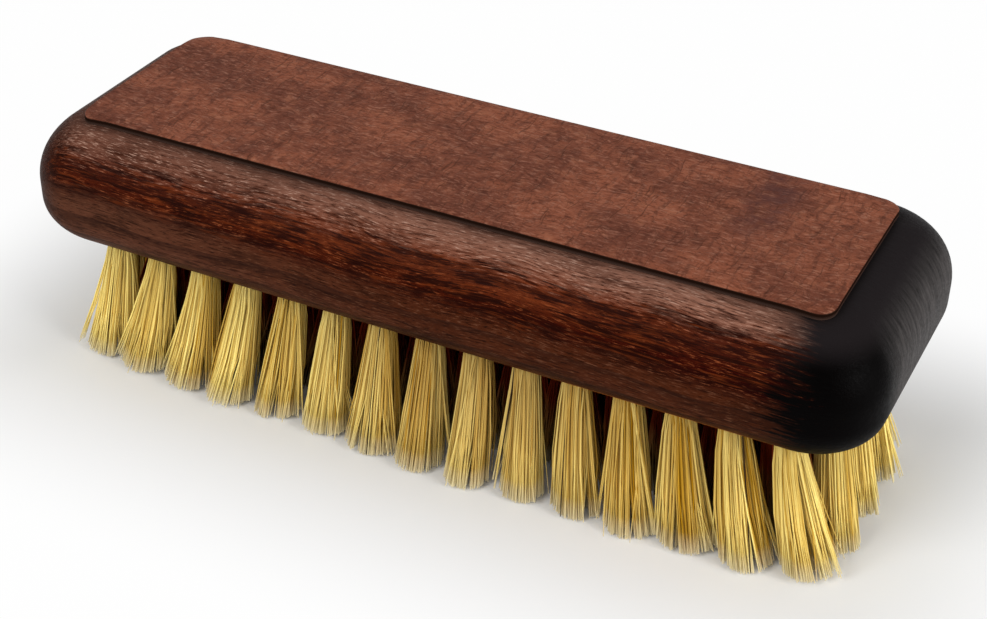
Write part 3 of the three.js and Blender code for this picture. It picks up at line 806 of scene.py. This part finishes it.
def waxed_leather():
    """Vegetable-tanned cowhide, aniline dyed and waxed. The dye takes in clouds and smudges, short
    fibres lie every way in the waxed face, creases cross it, an old stain lies near one end, and the cut
    edge is burnished dark."""
    material, tree, shader = new_material("waxed aniline leather")
    place = add_node(tree, "TexCoord").outputs["Object"]
    axes = add_node(tree, "SeparateXYZ", {}, {"Vector": place})
    drift = add_node(tree, "TexNoise", {"Scale": 1 / (6 * MM), "Detail": 2.0}, {"Vector": place})
    fibre_place = add_node(
        tree, "VectorMath", {"operation": "MULTIPLY_ADD", 1: (2.5 * MM, 2.5 * MM, 0)},
        {0: drift.outputs["Color"], 2: place},
    ).outputs["Vector"]

    # Patterns of the hide: (length, width, turn in degrees, detail)
    hide_noise = {}
    for label, length, width, turn, detail in (
        ("cloud", 13, 9, 20, 2.0),
        ("mottle", 3.0, 2.2, -30, 4.0),
        ("fibre", 1.5, 0.42, 8, 4.0),
        ("cross fibre", 1.2, 0.4, 58, 4.0),
        ("back fibre", 1.3, 0.42, -48, 4.0),
        ("smudge", 1.1, 7, -12, 3.0),
        ("crease", 0.4, 7, 0, 3.0),
    ):
        hide_noise[label] = stretched_noise(
            tree, fibre_place, (length, width, 1), detail, roughness=0.6, turn=(0, 0, math.radians(turn)),
        )

    # Where a noise crosses its middle value it leaves thin, closed lines, as crinkles do
    crinkle = add_node(
        tree, "TexNoise", {"Scale": 1 / (2.6 * MM), "Detail": 3.0}, {"Vector": fibre_place},
    ).outputs["Fac"]
    crinkle = add_node(tree, "Math", {"operation": "SUBTRACT", 1: 0.5}, {0: crinkle}).outputs["Value"]
    crinkle = add_node(tree, "Math", {"operation": "ABSOLUTE"}, {0: crinkle}).outputs["Value"]
    hide_noise["crinkle"] = crinkle

    # The dye in its clouds, and what lies over it: (noise, from, to, share at most, colour)
    cloud = add_node(
        tree, "MapRange", {"interpolation_type": "SMOOTHSTEP", "From Min": 0.36, "From Max": 0.64},
        {"Value": hide_noise["cloud"]},
    ).outputs["Result"]
    hide = add_node(
        tree, "Mix", {"data_type": "RGBA", COLOUR_A: linear("#683726"), COLOUR_B: linear("#854a33")},
        {FACTOR: cloud},
    ).outputs[COLOUR]
    for label, start, end, most, shade in (
        ("mottle", 0.48, 0.33, 0.56, "#4f2719"),
        ("mottle", 0.54, 0.7, 0.5, "#995e43"),
        ("smudge", 0.48, 0.34, 0.52, "#502719"),
        ("fibre", 0.54, 0.68, 0.48, "#a6725b"),
        ("fibre", 0.46, 0.33, 0.6, "#481f11"),
        ("cross fibre", 0.55, 0.69, 0.36, "#9c6853"),
        ("cross fibre", 0.45, 0.33, 0.44, "#4c2414"),
        ("back fibre", 0.56, 0.7, 0.28, "#95624f"),
        ("crinkle", 0.02, 0.004, 0.45, "#4a2414"),
        ("crease", 0.41, 0.3, 0.6, "#43200f"),
    ):
        share = add_node(
            tree, "MapRange",
            {"interpolation_type": "SMOOTHSTEP", "From Min": start, "From Max": end, "To Max": most},
            {"Value": hide_noise[label]},
        ).outputs["Result"]
        hide = add_node(
            tree, "Mix", {"data_type": "RGBA", COLOUR_B: linear(shade)}, {FACTOR: share, COLOUR_A: hide},
        ).outputs[COLOUR]

    # The stain: a patchy band across the panel, 47 mm from its middle, that fades to the front
    aside = add_node(
        tree, "Math", {"operation": "SUBTRACT", 1: 47 * MM}, {0: axes.outputs["X"]},
    ).outputs["Value"]
    aside = add_node(tree, "Math", {"operation": "ABSOLUTE"}, {0: aside}).outputs["Value"]
    stain = add_node(
        tree, "MapRange", {"From Min": 0.36, "From Max": 0.6, "To Max": 0.7},
        {"Value": hide_noise["mottle"]},
    ).outputs["Result"]
    stain = faded(tree, stain, [(aside, 6, 1), (axes.outputs["Y"], -9, 6)])
    hide = add_node(
        tree, "Mix", {"data_type": "RGBA", COLOUR_B: linear("#452625")}, {FACTOR: stain, COLOUR_A: hide},
    ).outputs[COLOUR]

    # The burnished edge, which dust greys low down, where nothing rubs it
    rim = add_node(tree, "Attribute", {"attribute_name": "rim"}).outputs["Fac"]
    burnish = add_node(
        tree, "MapRange", {"From Min": 0.02, "From Max": 0.14, "To Min": 1.0, "To Max": 0.0},
        {"Value": rim},
    ).outputs["Result"]
    rise = add_node(tree, "Attribute", {"attribute_name": "rise"}).outputs["Fac"]
    clean = add_node(tree, "MapRange", {"From Max": 0.55}, {"Value": rise}).outputs["Result"]
    cut_edge = add_node(
        tree, "Mix", {"data_type": "RGBA", COLOUR_A: linear("#3d2d27"), COLOUR_B: linear("#1a0e09")},
        {FACTOR: clean},
    ).outputs[COLOUR]
    hide = add_node(
        tree, "Mix", {"data_type": "RGBA"}, {FACTOR: burnish, COLOUR_A: hide, COLOUR_B: cut_edge},
    ).outputs[COLOUR]

    sheen = add_node(
        tree, "MapRange", {"From Min": 0.02, "From Max": 0.14, "To Max": 0.12}, {"Value": rim},
    ).outputs["Result"]
    pores = add_node(
        tree, "TexVoronoi", {"Scale": 1 / (0.7 * MM)}, {"Vector": fibre_place},
    ).outputs["Distance"]
    wax_finish(tree, shader, hide, hide_noise["fibre"], pores, roughness=(0.62, 0.45), relief=0.3)
    tree.links.new(sheen, shader.inputs["Specular IOR Level"])
    shader.inputs["IOR"].default_value = 1.48
    return material


def hog_bristle():
    """Bleached hog bristle, washed and trimmed. Each hair has its own shade of gold and a few are dark.
    Hairs inside the tuft field, and most in the middle of the stock, carry a painted maroon shade, roots
    carry a painted shade where the stock shades them, and the split tips go pale, a paler colour that
    also paints light against the floor's shade there."""
    material, tree, shader = new_material("bleached hog bristle")
    shades = {}
    for label in ("tone", "along", "deep"):
        shades[label] = add_node(tree, "Attribute", {"attribute_name": label}).outputs["Fac"]
    hair = add_node(
        tree, "Mix", {"data_type": "RGBA", COLOUR_A: linear("#bd8d16"), COLOUR_B: linear("#ffe78a")},
        {FACTOR: shades["tone"]},
    ).outputs[COLOUR]
    # Painted shade near the roots, where the stock overhangs and shades the tufts
    root = add_node(
        tree, "MapRange", {"From Min": 0.0, "From Max": 0.6, "To Min": 0.34, "To Max": 0.0},
        {"Value": shades["along"]},
    ).outputs["Result"]
    # Painted maroon shade on hairs inside the tuft field and in the middle of the stock, less towards the
    # tips
    stained = add_node(
        tree, "MapRange", {"From Min": 0.5, "From Max": 1.0, "To Min": 0.985, "To Max": 0.5},
        {"Value": shades["along"]},
    ).outputs["Result"]
    stained = add_node(
        tree, "Math", {"operation": "MULTIPLY"}, {0: stained, 1: shades["deep"]},
    ).outputs["Value"]
    # The split tips go pale; the paler colour also paints light against the floor's shade at the tips
    tip = add_node(
        tree, "MapRange", {"From Min": 0.86, "From Max": 1.0, "To Max": 0.75},
        {"Value": shades["along"]},
    ).outputs["Result"]
    odd = add_node(
        tree, "Math", {"operation": "LESS_THAN", 1: ODD_TONE / 2}, {0: shades["tone"]},
    ).outputs["Value"]
    for shade, share in (("#62400a", root), ("#701b05", stained), ("#fff4d2", tip), ("#33231a", odd)):
        hair = add_node(
            tree, "Mix", {"data_type": "RGBA", COLOUR_B: linear(shade)}, {FACTOR: share, COLOUR_A: hair},
        ).outputs[COLOUR]
    tree.links.new(hair, shader.inputs["Base Color"])
    shader.inputs["Roughness"].default_value = 0.45
    shader.inputs["IOR"].default_value = 1.55
    shader.inputs["Specular IOR Level"].default_value = 0.04
    return material


def dried_glue():
    """Contact adhesive, dried in a film: amber, darker where it is thick, and slightly glossy."""
    material, tree, shader = new_material("dried contact adhesive")
    place = add_node(tree, "TexCoord").outputs["Object"]
    cloud = add_node(
        tree, "TexNoise", {"Scale": 1 / (4 * MM), "Detail": 3.0}, {"Vector": place},
    ).outputs["Fac"]
    film = add_node(
        tree, "Mix", {"data_type": "RGBA", COLOUR_A: linear("#1d120c"), COLOUR_B: linear("#3a2414")},
        {FACTOR: cloud},
    ).outputs[COLOUR]
    tree.links.new(film, shader.inputs["Base Color"])
    shader.inputs["Roughness"].default_value = 0.35
    return material


def drawn_wire():
    """Soft steel wire, drawn through a die: grey, with fine lines along its length."""
    material, tree, shader = new_material("drawn steel wire")
    place = add_node(tree, "TexCoord").outputs["Object"]
    lines = stretched_noise(tree, place, (6, 0.08, 0.08), detail=2.0, roughness=0.5)
    steel = add_node(
        tree, "Mix", {"data_type": "RGBA", COLOUR_A: linear("#8d8d88"), COLOUR_B: linear("#b4b4ae")},
        {FACTOR: lines},
    ).outputs[COLOUR]
    tree.links.new(steel, shader.inputs["Base Color"])
    shader.inputs["Metallic"].default_value = 1.0
    shader.inputs["Roughness"].default_value = 0.35
    return material


def white_floor():
    """Matt white board. It is lit as any board is under the brush and close to it, where the shadow
    lies, and what looks at it further out sees plain white."""
    material, tree, shader = new_material("matt white board")
    shader.inputs["Base Color"].default_value = linear("#e8e8e7")
    shader.inputs["Roughness"].default_value = 0.95
    place = add_node(tree, "TexCoord").outputs["Object"]
    outside = distance_outside(tree, place, (0, 0), (BLOCK_LENGTH / 2 * MM, BLOCK_WIDTH / 2 * MM))
    clear = add_node(
        tree, "MapRange",
        {"interpolation_type": "SMOOTHSTEP", "From Min": -4 * MM, "From Max": 40 * MM, "To Max": 0.97},
        {"Value": outside},
    ).outputs["Result"]
    path = add_node(tree, "LightPath")
    seen = add_node(
        tree, "Math", {"operation": "MAXIMUM"},
        {0: path.outputs["Is Camera Ray"], 1: path.outputs["Is Glossy Ray"]},
    ).outputs["Value"]
    seen = add_node(
        tree, "Math", {"operation": "MAXIMUM"}, {0: seen, 1: path.outputs["Is Transmission Ray"]},
    ).outputs["Value"]
    share = add_node(tree, "Math", {"operation": "MULTIPLY"}, {0: seen, 1: clear}).outputs["Value"]
    glow = add_node(tree, "Emission", {"Color": linear("#ffffff"), "Strength": 1.0}).outputs["Emission"]
    mixed = add_node(
        tree, "MixShader", {}, {0: share, 1: shader.outputs["BSDF"], 2: glow},
    ).outputs["Shader"]
    tree.links.new(mixed, tree.nodes["Material Output"].inputs["Surface"])
    return material


# Pieces
BORES, LEANS, ROWS = tuft_plan()

stock_points, stock_faces = stock_shell(BORES, LEANS)
stock = make_piece("wooden_stock", stock_points, stock_faces, stained_beech())
weld_and_face_out(stock, sharp_angle=35)
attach(stock, "root")
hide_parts("brush_block")

panel_points, panel_faces, panel_edge = panel_shell()
panel = make_piece("leather_cover", panel_points, panel_faces, waxed_leather(), panel_edge)
weld_and_face_out(panel, sharp_angle=40)
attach(panel, "root")
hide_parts("leather_panel")

# Use has swept all tips along the stock and bent those of the front rows forward, most at one place
pressed = np.exp(-((BORES[:, 0] - PRESSED_PLACE) / PRESSED_REACH) ** 2)
forward = np.minimum(BORES[:, 1] / np.abs(BORES[:, 1]).max(), 0)
BENT = LEANS + np.stack([np.full(len(BORES), SWEPT), PRESSED_LEAN * pressed * forward], axis=1)

FIELD = np.abs(BORES).max(axis=0) + BORE_RADIUS
bristle = hog_bristle()
outer_row = (ROWS == 0) | (ROWS == len(ROW_TUFTS) - 1)
row_end = np.abs(BORES[:, 0]) >= np.abs(BORES[outer_row, 0]).max()
TIP_RADII = np.select(
    [row_end & (ROWS == 0), row_end, outer_row],
    [CORNER_TIP_RADIUS, END_TIP_RADIUS, TUFT_TIP_RADIUS], INNER_TIP_RADIUS,
).reshape(-1, 1)
for row, bank in enumerate(("front", "front", "middle", "back", "back")):
    here = ROWS == row
    hair_points, hair_faces, hair_shades = bristle_hairs(
        BORES[here], BENT[here], TIP_RADII[here], FIELD, np.random.default_rng(row),
    )
    hairs = make_piece(f"bristle_hairs_row_{row + 1}", hair_points, hair_faces, bristle, hair_shades)
    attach(hairs, "root")
    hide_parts(f"bristle_bank_{bank}")

film_points, film_faces = film_shell()
film = make_piece("glue_film", film_points, film_faces, dried_glue())
weld_and_face_out(film, sharp_angle=35)
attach(film, "root")
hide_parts("adhesive_film")

wire = drawn_wire()
for row in range(len(ROW_TUFTS)):
    wire_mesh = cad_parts[f"draw_wire_{row + 1}"].data
    wire_mesh.materials.clear()
    wire_mesh.materials.append(wire)

# Floor
FLOOR_REACH = 3000.0
floor_corners = FLOOR_REACH * np.array([(-1, -1, 0), (1, -1, 0), (1, 1, 0), (-1, 1, 0)])
floor = make_piece("floor", floor_corners, [np.array([[0, 1, 2, 3]])], white_floor())

# Camera, at the photograph's place
PHOTO_WIDTH = 987
FOCAL_PIXELS = 1847
CAMERA_PLACE = np.array((118.7, -234.2, 191.5))
AZIMUTH, ELEVATION, ROLL = np.radians((26.27, 33.59, 0.79))
back = np.array([
    math.sin(AZIMUTH) * math.cos(ELEVATION),
    -math.cos(AZIMUTH) * math.cos(ELEVATION),
    math.sin(ELEVATION),
])
level_right = np.array([math.cos(AZIMUTH), math.sin(AZIMUTH), 0])
level_up = np.cross(back, level_right)
right = math.cos(ROLL) * level_right + math.sin(ROLL) * level_up
up = -math.sin(ROLL) * level_right + math.cos(ROLL) * level_up
camera_data = bpy.data.cameras.new("camera")
camera_data.sensor_width = 36.0
camera_data.lens = FOCAL_PIXELS * camera_data.sensor_width / PHOTO_WIDTH
camera_data.clip_start = 0.01
camera = bpy.data.objects.new("camera", camera_data)
pose = np.eye(4)
pose[:3] = np.column_stack([right, up, back, CAMERA_PLACE * MM])
camera.matrix_world = Matrix(pose.tolist())
bpy.context.scene.collection.objects.link(camera)
bpy.context.scene.camera = camera


def softbox(name, place, aim, width, height, power):
    """A soft rectangular lamp at a place, turned to face a point, in millimetres and watts."""
    lamp_data = bpy.data.lights.new(name, "AREA")
    lamp_data.shape = "RECTANGLE"
    lamp_data.size = width * MM
    lamp_data.size_y = height * MM
    lamp_data.energy = power
    away = np.array(place, float) - np.array(aim, float)
    away /= np.linalg.norm(away)
    across_stock = (0, 1, 0.01)  # tipped a little, so that no lamp's aim lies along it
    side = np.cross(across_stock, away)
    side /= np.linalg.norm(side)
    turn = np.eye(4)
    turn[:3] = np.column_stack([side, np.cross(away, side), away, np.array(place) * MM])
    lamp = bpy.data.objects.new(name, lamp_data)
    lamp.matrix_world = Matrix(turn.tolist())
    bpy.context.scene.collection.objects.link(lamp)


BRUSH_MIDDLE = (0, 0, 30)
softbox("key softbox", (-480, -900, 700), BRUSH_MIDDLE, width=700, height=700, power=9.2)
softbox("end softbox", (925, -150, 372), BRUSH_MIDDLE, width=500, height=500, power=7.0)

world = bpy.data.worlds.new("studio")
bpy.context.scene.world = world
world.use_nodes = True
background = world.node_tree.nodes["Background"]
background.inputs["Color"].default_value = linear("#b6b6b6")
background.inputs["Strength"].default_value = 1.0

bpy.context.scene.view_settings.view_transform = "Standard"
